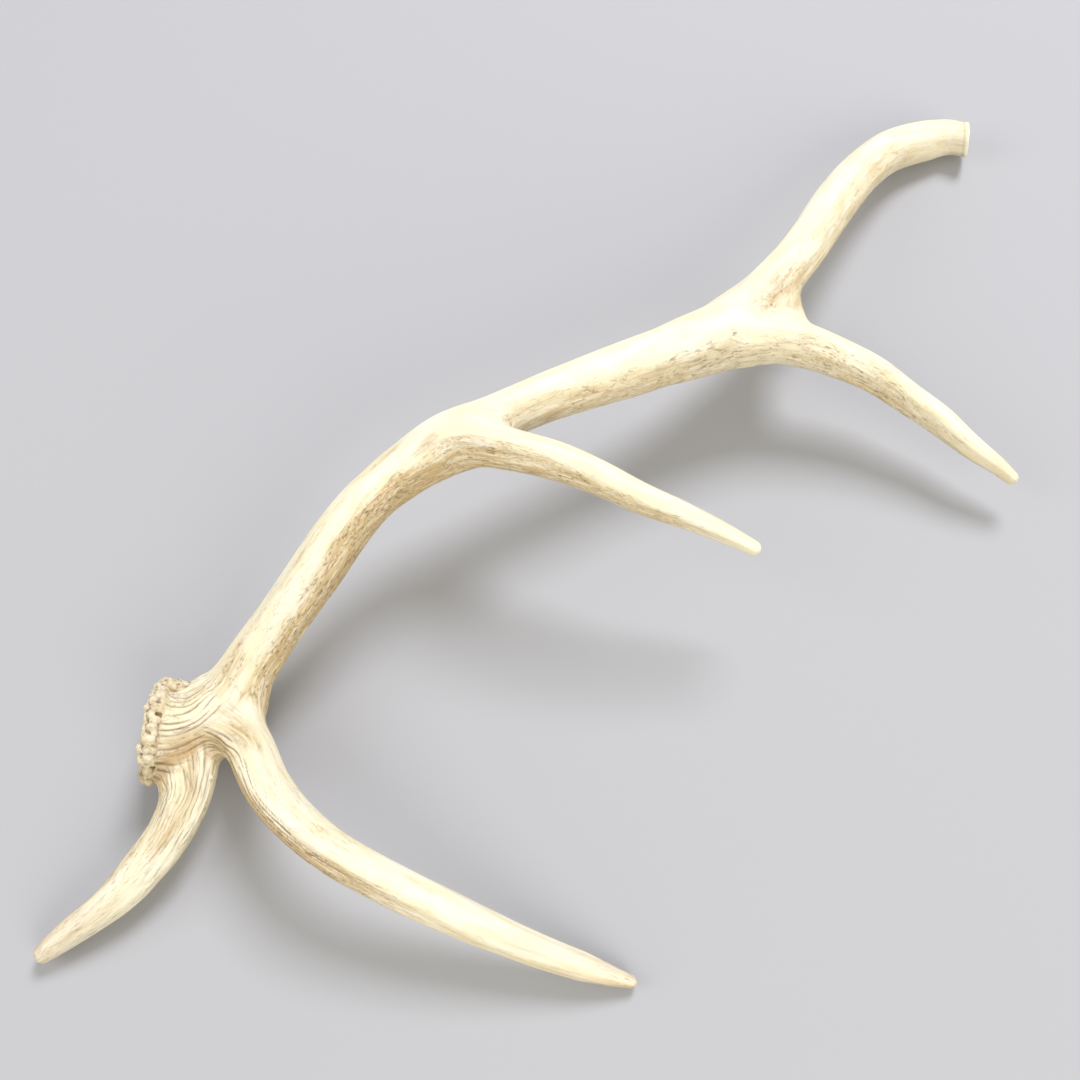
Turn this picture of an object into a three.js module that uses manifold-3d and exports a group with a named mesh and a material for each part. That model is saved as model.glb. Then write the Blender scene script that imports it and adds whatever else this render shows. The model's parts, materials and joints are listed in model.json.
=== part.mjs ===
import * as THREE from 'three'
import { mergeVertices } from 'three/addons/utils/BufferGeometryUtils.js'
import Module from 'manifold-3d'

// Shed antler of a mature wapiti, lying on its side. It rests on the rim of the
// burr, the tip of the bez tine and the sawn end of the crown, and the beam arches
// over the surface between them. Millimetres, +Z up, the sawn end towards +X.

const wasm = await Module()
wasm.setup()

// ---- Driving dimensions -------------------------------------------------------

// Each limb is a row of stations along its axis: [x, y, z, radius].
const BEAM = [
  [-2, 1, 43, 34.5], [6, -5, 41, 33.8], [20, -7, 37, 29], [37, -10, 36, 26],
  [57, -16, 39, 23.7], [85, -8, 51, 21.7], [124, 0, 67, 20.3], [170, 10, 84, 20.7],
  [202, 19, 93, 20.2], [232, 24, 101, 19.8], [273, 24, 108, 17.5], [318, 19, 112, 17.6],
  [383, 4, 112, 19.3], [435, -8, 106, 21.6], [473, -17, 101, 23.2], [529, -27, 92, 24.4],
  [582, -26, 84, 21.6], [653, -11, 74, 20], [752, 26, 51, 20.3], [800, 41, 40, 19.9],
  [849, 48, 28, 19.4], [890, 39, 20, 18.9], [911, 28, 19, 16.7], [918, 14, 22, 15.3],
]
const BROW = [
  [8, -21, 40, 19.9], [5, -39, 37, 21.7], [-6, -53, 34, 19.7], [-22, -65, 31, 17.4],
  [-42, -74, 29, 16.4], [-63, -79, 26, 15.6], [-85, -83, 23, 13.9], [-108, -83, 20, 11.8],
  [-131, -81, 16, 9.9], [-148, -80, 12, 7], [-155, -80, 11, 4.4],
]
const BEZ = [
  [56, 0, 30, 9.5], [53, -29, 42, 15.4], [52, -61, 56, 17.9], [48, -104, 70, 17],
  [51, -136, 74, 16.3], [60, -171, 71, 15.7], [76, -207, 63, 15.1], [93, -240, 53, 14.7],
  [111, -273, 41, 13.6], [129, -304, 29, 12], [149, -334, 18, 9.9], [161, -351, 12, 7.2],
  [170, -363, 8, 4.6],
]
const TREZ = [
  [269, 27, 100, 7], [306, 12, 116, 14.7], [330, -23, 134, 15.5], [354, -62, 139, 14.8],
  [369, -89, 136, 13.4], [384, -118, 129, 12], [402, -145, 119, 10.2], [418, -170, 109, 8],
  [431, -194, 100, 5.9],
]
const CROWN = [
  [517, -29, 94, 8.2], [557, -52, 89, 14.9], [592, -76, 83, 18.5], [616, -110, 74, 16.8],
  [629, -136, 68, 15.3], [638, -166, 60, 13.3], [646, -196, 53, 12.1], [651, -227, 46, 10],
  [658, -252, 40, 7.4], [661, -266, 36, 5.7],
]

// Flat web of bone that fills the crotch of the last fork.
const WEB = [
  [571, -32, 80, 11.8], [596, -40, 77, 11.9], [618, -47, 75, 11.1],
]

// Where the pieces part, as distances along each limb's axis.
const BEAM_FIRST_JOINT = 118
const BEAM_SECOND_JOINT = 430
const BEAM_THIRD_JOINT = 700
const BROW_JOINT = 60
const BEZ_JOINT = 88
const TREZ_JOINT = 108
const CROWN_JOINT = 128
const JOINT_GAP = 0.3

// Ring of bone pearls round the foot of the beam, and the seal below it.
const BURR_AXIS = new THREE.Vector3(0.71, -0.63, -0.31).normalize()
const BURR_RADIUS = 40
const BURR_PEARL_HEIGHT = 4.2
const BURR_PEARLS = 19
const BURR_SIDES = 66
const BURR_SEAT = 6        // where the beam's skin rises out of the ring of pearls
const SEAL_BULGE = 5
const SEAL_RADIUS = 35

// Skin of the limbs.
const LIMB_SIDES = 18
const BASE_SIDES = 28
const RING_SPACING = 13
const FORK_RING_SPACING = 8.5
// How far from a fork the skins of a tine and its neighbours start to swell together.
const FILLETS = { brow: 18, bez: 28, trez: 22, crown: 28, web: 26 }
const LARGEST_SWELL = 9
const TIP_RINGS = 4
const FLUTE_DEPTH = 0.9    // ridges and hollows that run along the bone
const ROOT_RIDGES = 7      // heavier ridges that fan out from the burr
const ROOT_RIDGE_HEIGHT = 1.3
const ROOT_RIDGE_REACH = 95
const AXIS_SAMPLE = 6

const BONE = { color: 0xd9ccaa, roughness: 0.62, metalness: 0 }
const BURR_BONE = { color: 0xcbb78d, roughness: 0.75, metalness: 0 }

// ---- Limbs --------------------------------------------------------------------

class Limb {
  constructor(stations, phase, fillet, fromBurr = false) {
    this.stations = stations
    this.phase = phase
    this.fillet = fillet
    this.fromBurr = fromBurr
    this.curve = new THREE.CatmullRomCurve3(
      stations.map(([x, y, z]) => new THREE.Vector3(x, y, z)), false, 'centripetal')
    this.curve.arcLengthDivisions = 60 * stations.length
    this.length = this.curve.getLength()
    this.stops = this.stationDistances()
    this.samples = this.sampleAxis()
  }

  // Distance along the axis at which each station lies.
  stationDistances() {
    const lengths = this.curve.getLengths()
    const last = lengths.length - 1
    return this.stations.map((_, i) =>
      lengths[Math.round(i / (this.stations.length - 1) * last)])
  }

  radiusAt(distance) {
    const s = THREE.MathUtils.clamp(distance, 0, this.length)
    let i = 1
    while (i < this.stops.length - 1 && this.stops[i] < s) i += 1
    const t = (s - this.stops[i - 1]) / (this.stops[i] - this.stops[i - 1])
    return THREE.MathUtils.lerp(this.stations[i - 1][3], this.stations[i][3], t)
  }

  sampleAxis() {
    const count = Math.ceil(this.length / AXIS_SAMPLE)
    return Array.from({ length: count + 1 }, (_, i) => ({
      point: this.curve.getPointAt(i / count),
      radius: this.radiusAt(i / count * this.length),
    }))
  }

  // Depth of a point outside (positive) or inside (negative) the plain round limb.
  distanceTo(point) {
    let nearest = Infinity
    for (let i = 1; i < this.samples.length; i += 1) {
      const a = this.samples[i - 1]
      const b = this.samples[i]
      const along = new THREE.Vector3().subVectors(b.point, a.point)
      const reach = new THREE.Vector3().subVectors(point, a.point)
      const t = THREE.MathUtils.clamp(reach.dot(along) / along.lengthSq(), 0, 1)
      const gap = reach.addScaledVector(along, -t).length()
      nearest = Math.min(nearest, gap - THREE.MathUtils.lerp(a.radius, b.radius, t))
    }
    return nearest
  }

  // Position, tangent and two side directions at a distance along the axis.
  frameAt(distance) {
    const u = THREE.MathUtils.clamp(distance / this.length, 0, 1)
    const tangent = this.curve.getTangentAt(u)
    const side = new THREE.Vector3(0, 0, 1).cross(tangent).normalize()
    const up = new THREE.Vector3().crossVectors(side, tangent)
    return { origin: this.curve.getPointAt(u), tangent, side, up }
  }

  // Long low ridges and hollows round the limb, between about -1 and 1.
  flute(angle, distance) {
    const drift = distance * 0.012 + this.phase
    return 0.45 * Math.sin(3 * angle + drift)
      + 0.35 * Math.sin(5 * angle - 1.7 * drift)
      + 0.3 * Math.sin(8 * angle + 2.3 * drift)
      + 0.25 * Math.sin(2 * angle - distance * 0.045)
  }

  // Ridges that stand up at the root of the limbs nearest the burr and die out.
  rootRidge(angle, distance) {
    if (!this.fromBurr) return 0
    const fade = Math.max(0, 1 - distance / ROOT_RIDGE_REACH)
    return ROOT_RIDGE_HEIGHT * fade * Math.cos(ROOT_RIDGES * angle + this.phase)
  }
}

const beam = new Limb(BEAM, 0, Infinity, true)
const brow = new Limb(BROW, 1.1, FILLETS.brow, true)
const bez = new Limb(BEZ, 2.3, FILLETS.bez, true)
const trez = new Limb(TREZ, 3.7, FILLETS.trez)
const crown = new Limb(CROWN, 5.2, FILLETS.crown)
const web = new Limb(WEB, 6.1, FILLETS.web)
const limbs = [beam, brow, bez, trez, crown, web]

// Swelling of a limb's skin towards its neighbours. It is largest where the two
// skins are equally near, and falls away again inside the neighbour, so that the
// two skins cross in one clean line.
function filletSwell(limb, point) {
  const own = limb.distanceTo(point)
  let swell = 0
  for (const other of limbs) {
    if (other === limb) continue
    const fillet = Math.min(limb.fillet, other.fillet)
    const lead = (other.distanceTo(point) - own) / fillet
    if (lead >= 1 || lead <= -0.5) continue
    const share = lead > 0 ? (1 - lead) ** 2 : 1 + 2 * lead
    swell += fillet / 4 * share
  }
  return Math.min(swell, LARGEST_SWELL)
}

// Turns a straight spindle between two distances of a limb, then bends it along the
// limb's axis. A free tip is rounded off; any other end is a flat face.
function limbGeometry(limb, from, to, spacing, { roundTip = false, sides = LIMB_SIDES } = {}) {
  const rings = Math.max(2, Math.round((to - from) / spacing))
  const profile = [new THREE.Vector2(0, from)]
  for (let i = 0; i <= rings; i += 1) {
    const distance = THREE.MathUtils.lerp(from, to, i / rings)
    profile.push(new THREE.Vector2(limb.radiusAt(distance), distance))
  }
  if (roundTip) {
    const tipRadius = limb.radiusAt(to)
    for (let i = 1; i < TIP_RINGS; i += 1) {
      const angle = i / TIP_RINGS * Math.PI / 2
      profile.push(new THREE.Vector2(tipRadius * Math.cos(angle), to + tipRadius * Math.sin(angle)))
    }
    profile.push(new THREE.Vector2(0, to + tipRadius))
  } else {
    profile.push(new THREE.Vector2(0, to))
  }
  const geometry = new THREE.LatheGeometry(profile, sides)
  const position = geometry.attributes.position
  for (let i = 0; i < position.count; i += 1) {
    const straight = new THREE.Vector3().fromBufferAttribute(position, i)
    const distance = straight.y
    const reach = Math.hypot(straight.x, straight.z)
    const frame = limb.frameAt(distance)
    const beyondTip = Math.max(0, distance - limb.length)
    const centre = frame.origin.addScaledVector(frame.tangent, beyondTip)
    if (reach < 1e-6) {
      position.setXYZ(i, centre.x, centre.y, centre.z)
      continue
    }
    const angle = Math.atan2(straight.z, straight.x)
    const outward = new THREE.Vector3()
      .addScaledVector(frame.side, Math.cos(angle))
      .addScaledVector(frame.up, Math.sin(angle))
    const share = Math.min(1, reach / limb.radiusAt(distance))
    const depth = FLUTE_DEPTH * share * Math.min(1, reach / 12)
    const relief = depth * limb.flute(angle, distance) + share * limb.rootRidge(angle, distance)
    let radius = reach + relief
    const skin = centre.clone().addScaledVector(outward, radius)
    radius += share * filletSwell(limb, skin)
    position.setXYZ(i, ...centre.addScaledVector(outward, radius).toArray())
  }
  return geometry
}

// ---- Burr ---------------------------------------------------------------------

// Two rows of pearls half a pearl out of step, of uneven size, round the rim.
function pearlHeight(angle, row) {
  const turn = angle * BURR_PEARLS + row * Math.PI
  const size = 0.72 + 0.28 * Math.sin(3 * angle + 1.3 * row) * Math.cos(5 * angle - row)
  return BURR_PEARL_HEIGHT * size * Math.abs(Math.cos(turn / 2 + 0.5 * Math.sin(4 * angle)))
}

// A lathe profile from the middle of the seal, over the pearled rim and back into
// the beam. The last number says which row of pearls lifts the ring.
function burrGeometry() {
  const rings = [
    [0.5 * SEAL_RADIUS, -SEAL_BULGE, 0], [0.85 * SEAL_RADIUS, -0.8 * SEAL_BULGE, 0],
    [SEAL_RADIUS, -0.5 * SEAL_BULGE, 0], [BURR_RADIUS - 2, -1.5, 0.4], [BURR_RADIUS, 1, 1],
    [BURR_RADIUS + 0.5, 4.5, 2], [BURR_RADIUS - 0.5, 8, 1], [BURR_RADIUS - 4, 11, 0.4],
    [BURR_RADIUS - 12, 12.5, 0],
  ]
  const profile = [new THREE.Vector2(0, -1.1 * SEAL_BULGE)]
  rings.forEach(([radius, height]) => profile.push(new THREE.Vector2(radius, height)))
  profile.push(new THREE.Vector2(0, rings.at(-1)[1]))
  const geometry = new THREE.LatheGeometry(profile, BURR_SIDES)
  const position = geometry.attributes.position
  const toAxis = new THREE.Quaternion().setFromUnitVectors(new THREE.Vector3(0, 1, 0), BURR_AXIS)
  const seat = beam.curve.getPointAt(0)
  for (let i = 0; i < position.count; i += 1) {
    const vertex = new THREE.Vector3().fromBufferAttribute(position, i)
    const reach = Math.hypot(vertex.x, vertex.z)
    const ring = rings.find(([radius, height]) =>
      Math.abs(height - vertex.y) < 1e-4 && Math.abs(radius - reach) < 1e-3)
    if (ring && ring[2] > 0) {
      const angle = Math.atan2(vertex.z, vertex.x)
      const row = Math.floor(ring[2])
      const lift = pearlHeight(angle, row) * Math.min(1, ring[2])
      vertex.x *= (reach + lift) / reach
      vertex.z *= (reach + lift) / reach
    }
    vertex.applyQuaternion(toAxis).add(seat)
    position.setXYZ(i, vertex.x, vertex.y, vertex.z)
  }
  return geometry
}

// ---- Joining ------------------------------------------------------------------

function toSolid(geometry) {
  geometry.deleteAttribute('normal')
  geometry.deleteAttribute('uv')
  const merged = mergeVertices(geometry, 1e-3)
  return new wasm.Manifold(new wasm.Mesh({
    numProp: 3,
    vertProperties: Float32Array.from(merged.attributes.position.array),
    triVerts: Uint32Array.from(dropDegenerate(merged.index.array)),
  }))
}

// A lathe leaves triangles with two corners on its axis; they have no area.
function dropDegenerate(index) {
  const kept = []
  for (let i = 0; i < index.length; i += 3) {
    const [a, b, c] = [index[i], index[i + 1], index[i + 2]]
    if (a !== b && b !== c && a !== c) kept.push(a, b, c)
  }
  return kept
}

function toGeometry(solid) {
  const mesh = solid.getMesh()
  const geometry = new THREE.BufferGeometry()
  geometry.setAttribute('position', new THREE.BufferAttribute(mesh.vertProperties, 3))
  geometry.setIndex(new THREE.BufferAttribute(mesh.triVerts, 1))
  geometry.computeVertexNormals()
  return geometry
}

function bonePiece(name, finish, ...geometries) {
  const solids = geometries.map(toSolid)
  const joined = solids.slice(1).reduce((whole, solid) => whole.add(solid), solids[0])
  const mesh = new THREE.Mesh(toGeometry(joined), new THREE.MeshStandardMaterial(finish))
  mesh.name = name
  return mesh
}

// ---- Pieces, from the burr to the sawn end --------------------------------------

const antler = new THREE.Group()

antler.add(bonePiece('burr_base', BURR_BONE,
  limbGeometry(beam, BURR_SEAT, BEAM_FIRST_JOINT, FORK_RING_SPACING, { sides: BASE_SIDES }),
  limbGeometry(brow, 0, BROW_JOINT, FORK_RING_SPACING, { sides: BASE_SIDES }),
  limbGeometry(bez, 0, BEZ_JOINT, FORK_RING_SPACING, { sides: BASE_SIDES }),
  burrGeometry()))

antler.add(bonePiece('brow_tine', BONE,
  limbGeometry(brow, BROW_JOINT + JOINT_GAP, brow.length, RING_SPACING, { roundTip: true })))

antler.add(bonePiece('bez_tine', BONE,
  limbGeometry(bez, BEZ_JOINT + JOINT_GAP, bez.length, RING_SPACING, { roundTip: true })))

antler.add(bonePiece('main_beam', BONE,
  limbGeometry(beam, BEAM_FIRST_JOINT + JOINT_GAP, BEAM_SECOND_JOINT, RING_SPACING),
  limbGeometry(trez, 0, TREZ_JOINT, FORK_RING_SPACING)))

antler.add(bonePiece('trez_tine', BONE,
  limbGeometry(trez, TREZ_JOINT + JOINT_GAP, trez.length, RING_SPACING, { roundTip: true })))

antler.add(bonePiece('upper_beam', BONE,
  limbGeometry(beam, BEAM_SECOND_JOINT + JOINT_GAP, BEAM_THIRD_JOINT, RING_SPACING),
  limbGeometry(crown, 0, CROWN_JOINT, FORK_RING_SPACING),
  limbGeometry(web, 0, web.length, FORK_RING_SPACING, { roundTip: true })))

antler.add(bonePiece('crown_tine', BONE,
  limbGeometry(crown, CROWN_JOINT + JOINT_GAP, crown.length, RING_SPACING, { roundTip: true })))

antler.add(bonePiece('sawn_branch', BONE,
  limbGeometry(beam, BEAM_THIRD_JOINT + JOINT_GAP, beam.length, RING_SPACING)))

// The origin lies under the middle of the antler, on the surface it rests on.
const bounds = new THREE.Box3().setFromObject(antler)
const middle = bounds.getCenter(new THREE.Vector3())
antler.children.forEach((piece) => piece.geometry.translate(-middle.x, -middle.y, -bounds.min.z))

export default antler
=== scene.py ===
"""A shed deer antler, sawn off at its upper end, lying on a plain pale floor.

The row frame is used throughout: metres, +Z up, the antler resting on the floor.
Lengths along the limbs are written in millimetres, as in the CAD model.
"""
import json

import bpy
import numpy as np
from mathutils import Matrix, Vector


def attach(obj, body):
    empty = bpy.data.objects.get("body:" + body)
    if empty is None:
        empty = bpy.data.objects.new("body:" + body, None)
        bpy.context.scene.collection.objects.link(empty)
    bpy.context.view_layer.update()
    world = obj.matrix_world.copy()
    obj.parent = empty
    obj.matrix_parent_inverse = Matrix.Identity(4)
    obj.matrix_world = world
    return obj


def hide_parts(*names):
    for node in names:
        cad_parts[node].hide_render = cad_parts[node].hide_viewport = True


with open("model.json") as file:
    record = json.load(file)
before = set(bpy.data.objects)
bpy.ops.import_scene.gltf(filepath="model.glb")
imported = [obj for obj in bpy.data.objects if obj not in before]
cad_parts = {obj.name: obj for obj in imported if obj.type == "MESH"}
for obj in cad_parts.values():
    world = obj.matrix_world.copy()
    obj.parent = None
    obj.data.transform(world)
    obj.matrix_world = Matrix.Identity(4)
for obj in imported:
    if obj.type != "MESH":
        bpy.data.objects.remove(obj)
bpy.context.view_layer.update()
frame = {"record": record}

# ---- Camera -------------------------------------------------------------------
# Looks down on the antler from the burr's side. Place and directions in the row
# frame: 840 mm above the floor, a square frame with a 36 mm lens on 36 mm.
VIEW_UP = (0.583, 0.698, 0.416)      # the direction that points up in the camera's view
camera = bpy.data.objects.new("camera", bpy.data.cameras.new("camera"))
camera.data.lens = 36.0
camera.data.sensor_width = 36.0
look = Vector((0.221, 0.356, -0.908)).normalized()
right = look.cross(Vector(VIEW_UP)).normalized()
above = right.cross(look)
camera.matrix_world = Matrix.Translation((-0.2531, -0.2270, 0.8402)) @ Matrix(
    (right, above, -look)).transposed().to_4x4()
bpy.context.scene.collection.objects.link(camera)
bpy.context.scene.camera = camera

# ---- Limbs --------------------------------------------------------------------
# The beam, four tines and the web of bone in the last crotch, each a round limb on a bent
# axis. Axis stations are [x, y, z, radius] in millimetres from the foot of the burr.
BEAM = [
    [-2, 1, 43, 34.5], [6, -5, 41, 33.8], [20, -7, 37, 29], [37, -10, 36, 26],
    [57, -16, 39, 23.7], [85, -8, 51, 21.7], [124, 0, 67, 20.3], [170, 10, 84, 20.7],
    [202, 19, 93, 20.2], [232, 24, 101, 19.8], [273, 24, 108, 17.5], [318, 19, 112, 17.6],
    [383, 4, 112, 19.3], [435, -8, 106, 21.6], [473, -17, 101, 23.2], [529, -27, 92, 24.4],
    [582, -26, 84, 21.6], [653, -11, 74, 20], [752, 26, 51, 20.3], [800, 41, 40, 19.9],
    [849, 48, 28, 19.4], [890, 39, 20, 18.9], [911, 28, 19, 16.7], [918, 14, 22, 15.3],
]
BROW = [
    [8, -21, 40, 19.9], [5, -39, 37, 21.7], [-6, -53, 34, 19.7], [-22, -65, 31, 17.4],
    [-42, -74, 29, 16.4], [-63, -79, 26, 15.6], [-85, -83, 23, 13.9], [-108, -83, 20, 11.8],
    [-131, -81, 16, 10.4], [-148, -80, 13, 8.5], [-154, -80, 12, 7.0],
]
BEZ = [
    [56, 0, 30, 9.5], [53, -29, 42, 15.4], [52, -61, 56, 17.9], [48, -104, 70, 17],
    [51, -136, 74, 16.3], [60, -171, 71, 15.7], [76, -207, 63, 15.1], [93, -240, 53, 14.7],
    [111, -273, 41, 13.6], [129, -304, 29, 12], [149, -334, 18, 9.9], [161, -351, 12, 7.2],
    [170, -363, 8, 4.6],
]
TREZ = [
    [269, 27, 100, 7], [306, 12, 116, 14.7], [330, -23, 134, 15.5], [354, -62, 139, 14.8],
    [369, -89, 136, 13.4], [384, -118, 129, 12], [402, -145, 119, 10.2], [418, -170, 109, 8],
    [431, -194, 100, 5.9],
]
CROWN = [
    [517, -29, 94, 8.2], [557, -52, 89, 14.9], [592, -76, 83, 18.5], [616, -110, 74, 16.8],
    [629, -136, 68, 15.3], [638, -166, 60, 13.3], [646, -196, 53, 12.1], [651, -227, 46, 10],
    [658, -252, 40, 7.4], [661, -266, 36, 5.7],
]
WEB = [[571, -32, 80, 11.8], [592, -39, 77, 10.0], [609, -44.5, 75.5, 8.0]]

SPLINE_STEPS = 60     # points of the spline from one station to the next
AXIS_STEP = 2.0       # mm between samples of an axis
CHUNK = 40000         # points handled at a time


class Limb:
    """A bent round limb.

    Its axis is a centripetal Catmull-Rom spline through the stations, and its radius
    runs straight from one station to the next. A point near it has a distance s along
    the axis and an angle phi round it, measured in the frame (side, up, tangent) with
    side = z x tangent and up = side x tangent. The phase turns its flutes, the fillet is
    how wide it blends into the other limbs, and it runs on straight for past_end.
    """

    def __init__(self, stations, phase=0.0, fillet=0.0, past_end=0.0):
        stations = np.array(stations, float)
        self.phase, self.fillet = phase, fillet
        knots, radii = stations[:, :3], stations[:, 3]
        first, last = 2 * knots[0] - knots[1], 2 * knots[-1] - knots[-2]
        run = np.vstack([first, knots, last])
        gap = np.linalg.norm(np.diff(run, axis=0), axis=1)[:, None] ** 0.5
        p0, p1, p2, p3 = run[:-3], run[1:-2], run[2:-1], run[3:]
        d0, d1, d2 = gap[:-2], gap[1:-1], gap[2:]
        m1 = ((p1 - p0) / d0 - (p2 - p0) / (d0 + d1) + (p2 - p1) / d1) * d1
        m2 = ((p2 - p1) / d1 - (p3 - p1) / (d1 + d2) + (p3 - p2) / d2) * d1
        t = np.linspace(0, 1, SPLINE_STEPS, endpoint=False)[None, :, None]
        fine = (p1[:, None] + m1[:, None] * t
                + (-3 * p1 + 3 * p2 - 2 * m1 - m2)[:, None] * t ** 2
                + (2 * p1 - 2 * p2 + m1 + m2)[:, None] * t ** 3).reshape(-1, 3)
        fine = np.vstack([fine, knots[-1]])
        along = np.append(0, np.cumsum(np.linalg.norm(np.diff(fine, axis=0), axis=1)))
        stops = along[::SPLINE_STEPS]
        self.length = along[-1]
        if past_end:
            heading = fine[-1] - fine[-2]
            fine = np.vstack([fine, fine[-1] + heading / np.linalg.norm(heading) * past_end])
            along = np.append(along, along[-1] + past_end)
        count = int(np.ceil(along[-1] / AXIS_STEP))
        self.s = np.linspace(0, along[-1], count + 1)
        self.step = self.s[1]
        self.axis = np.stack([np.interp(self.s, along, fine[:, i]) for i in range(3)], 1)
        self.radius = np.interp(self.s, stops, radii)
        tangent = np.gradient(self.axis, axis=0)
        self.tangent = tangent / np.linalg.norm(tangent, axis=1)[:, None]
        self.turning = np.gradient(self.tangent, axis=0) / self.step
        side = np.cross([0, 0, 1], self.tangent)
        self.side = side / np.linalg.norm(side, axis=1)[:, None]
        self.up = np.cross(self.side, self.tangent)

    def at(self, s):
        """Axis point, radius, tangent, side and up at distances s."""
        place = np.clip(np.asarray(s, float) / self.step, 0, len(self.s) - 1.001)
        low = place.astype(int)
        part = (place - low)[..., None]
        return [a[low] * (1 - part) + a[low + 1] * part
                for a in (self.axis, self.radius[:, None], self.tangent, self.side, self.up)]

    def locate(self, points):
        """(distance outside the skin, s, phi, direction away from the axis) of points.

        The nearest sample of the axis gives a first s. It then moves along the tangent,
        by more on the inner side of a bend, where the planes across the axis crowd.
        """
        near = np.empty(len(points), int)
        axis = self.axis.astype(np.float32)
        square = (axis ** 2).sum(1)
        for start in range(0, len(points), CHUNK):
            part = points[start:start + CHUNK].astype(np.float32)
            near[start:start + CHUNK] = np.argmin(square - 2 * part @ axis.T, axis=1)
        offset = points - self.axis[near]
        lean = (offset * self.tangent[near]).sum(1)
        crowded = 0.3      # the least divisor, near the centre of a bend
        lean /= np.maximum(1 - (offset * self.turning[near]).sum(1), crowded)
        s = np.clip(self.s[near] + np.clip(lean, -self.step, self.step), 0, self.s[-1])
        centre, radius, _, side, up = self.at(s)
        away = points - centre
        reach = np.linalg.norm(away, axis=1) + 1e-9
        away /= reach[:, None]
        phi = np.arctan2((away * up).sum(1), (away * side).sum(1))
        return reach - radius[:, 0], s, phi, away

    def tube(self, spacing, sides=40, dome=6):
        """Closed tube along the limb, with dome rings rounding its far end."""
        s = np.linspace(0, self.s[-1], int(self.s[-1] / spacing) + 1)
        end = self.at(s[-1:])[1][0, 0]
        bow = np.linspace(0, 0.45 * np.pi, dome + 1)[1:]
        centre, radius, tangent, side, up = self.at(np.append(s, s[-1] + 0 * bow))
        centre[-dome:] += tangent[-dome:] * end * np.sin(bow)[:, None]
        radius[-dome:] = end * np.cos(bow)[:, None]
        rings = len(centre)
        turn = np.linspace(0, 2 * np.pi, sides, endpoint=False)[None, :, None]
        ring = centre[:, None] + radius[:, None] * (
            np.cos(turn) * side[:, None] + np.sin(turn) * up[:, None])
        points = np.vstack([ring.reshape(-1, 3), centre[0], centre[-1]])
        i, j = np.meshgrid(np.arange(rings - 1), np.arange(sides), indexing="ij")
        a, b = i * sides + j, i * sides + (j + 1) % sides
        quads = np.stack([a, b, b + sides, a + sides], -1).reshape(-1, 4)
        j = np.arange(sides)
        foot, head = rings * sides, rings * sides + 1
        after = (j + 1) % sides
        caps = [np.stack([j * 0 + foot, after, j], 1),
                np.stack([j * 0 + head, j + foot - sides, after + foot - sides], 1)]
        return points, quads, np.vstack(caps)


beam = Limb(BEAM, past_end=12.0)
brow = Limb(BROW, phase=1.1, fillet=18.0)
bez = Limb(BEZ, phase=2.3, fillet=28.0)
trez = Limb(TREZ, phase=3.7, fillet=34.0)
crown = Limb(CROWN, phase=5.2, fillet=34.0)
web = Limb(WEB, fillet=34.0)
limbs = [beam, brow, bez, trez, crown, web]
grown = limbs[:5]      # the limbs that have a grain and a colour of their own

# The grain of a tine runs up the beam from the burr before it turns into the tine, so
# that grooves pass through the forks unbroken.
ROOT = [BEAM[0], [12, -7.5, 41, 30], [30, -17, 40, 30]]
grain_paths = [Limb(ROOT + BEAM[4:]), Limb(BEAM[:2] + BROW[2:]), Limb(ROOT + BEZ[2:]),
               Limb(ROOT + BEAM[4:11] + TREZ[1:]), Limb(ROOT + BEAM[4:15] + CROWN[1:])]

# The sawn end's place in the row frame fixes where the foot of the burr lies.
sawn = next(m for m in frame["record"]["mounts"] if m["name"] == "sawn_end")
shift = np.array(BEAM[-1][:3], float) - 1000 * np.array(sawn["pos_m"])


def mesh_from(name, points, faces, smooth=True):
    """A mesh from points in millimetres and a list of index arrays, each one width."""
    mesh = bpy.data.meshes.new(name)
    sizes = np.concatenate([np.full(len(f), f.shape[1]) for f in faces])
    corners = np.concatenate([f.ravel() for f in faces]).astype(np.int32)
    mesh.vertices.add(len(points))
    mesh.vertices.foreach_set("co", np.asarray(points, np.float32).ravel())
    mesh.loops.add(len(corners))
    mesh.loops.foreach_set("vertex_index", corners)
    mesh.polygons.add(len(sizes))
    starts = np.append(0, np.cumsum(sizes)[:-1]).astype(np.int32)
    mesh.polygons.foreach_set("loop_start", starts)
    mesh.update(calc_edges=True)
    mesh.polygons.foreach_set("use_smooth", np.full(len(sizes), smooth))
    return mesh


def fused(parts, voxel):
    """Points and quads of the one skin round several closed parts."""
    offset, points, quads, triangles = 0, [], [], []
    for p, q, t in parts:
        points.append(p)
        quads.append(q + offset)
        triangles.append(t + offset)
        offset += len(p)
    mesh = mesh_from("lump", np.vstack(points), [np.vstack(quads), np.vstack(triangles)])
    lump = bpy.data.objects.new("lump", mesh)
    bpy.context.scene.collection.objects.link(lump)
    remesh = lump.modifiers.new("skin", "REMESH")
    remesh.mode, remesh.voxel_size, remesh.adaptivity = "VOXEL", voxel, 0.0
    skin = lump.evaluated_get(bpy.context.evaluated_depsgraph_get()).to_mesh()
    found = np.empty(len(skin.vertices) * 3, np.float32)
    skin.vertices.foreach_get("co", found)
    index = np.empty(len(skin.loops), np.int32)
    skin.loops.foreach_get("vertex_index", index)
    assert len(skin.loops) == 4 * len(skin.polygons)
    lump.to_mesh_clear()
    bpy.data.objects.remove(lump)
    bpy.data.meshes.remove(mesh)
    return found.reshape(-1, 3).astype(float), index.reshape(-1, 4)


def smoothstep(low, high, value):
    """0 at low and 1 at high, with 3t^2 - 2t^3 between them. low may be the larger."""
    t = np.clip((value - low) / (high - low), 0, 1)
    return t * t * (3 - 2 * t)


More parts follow.
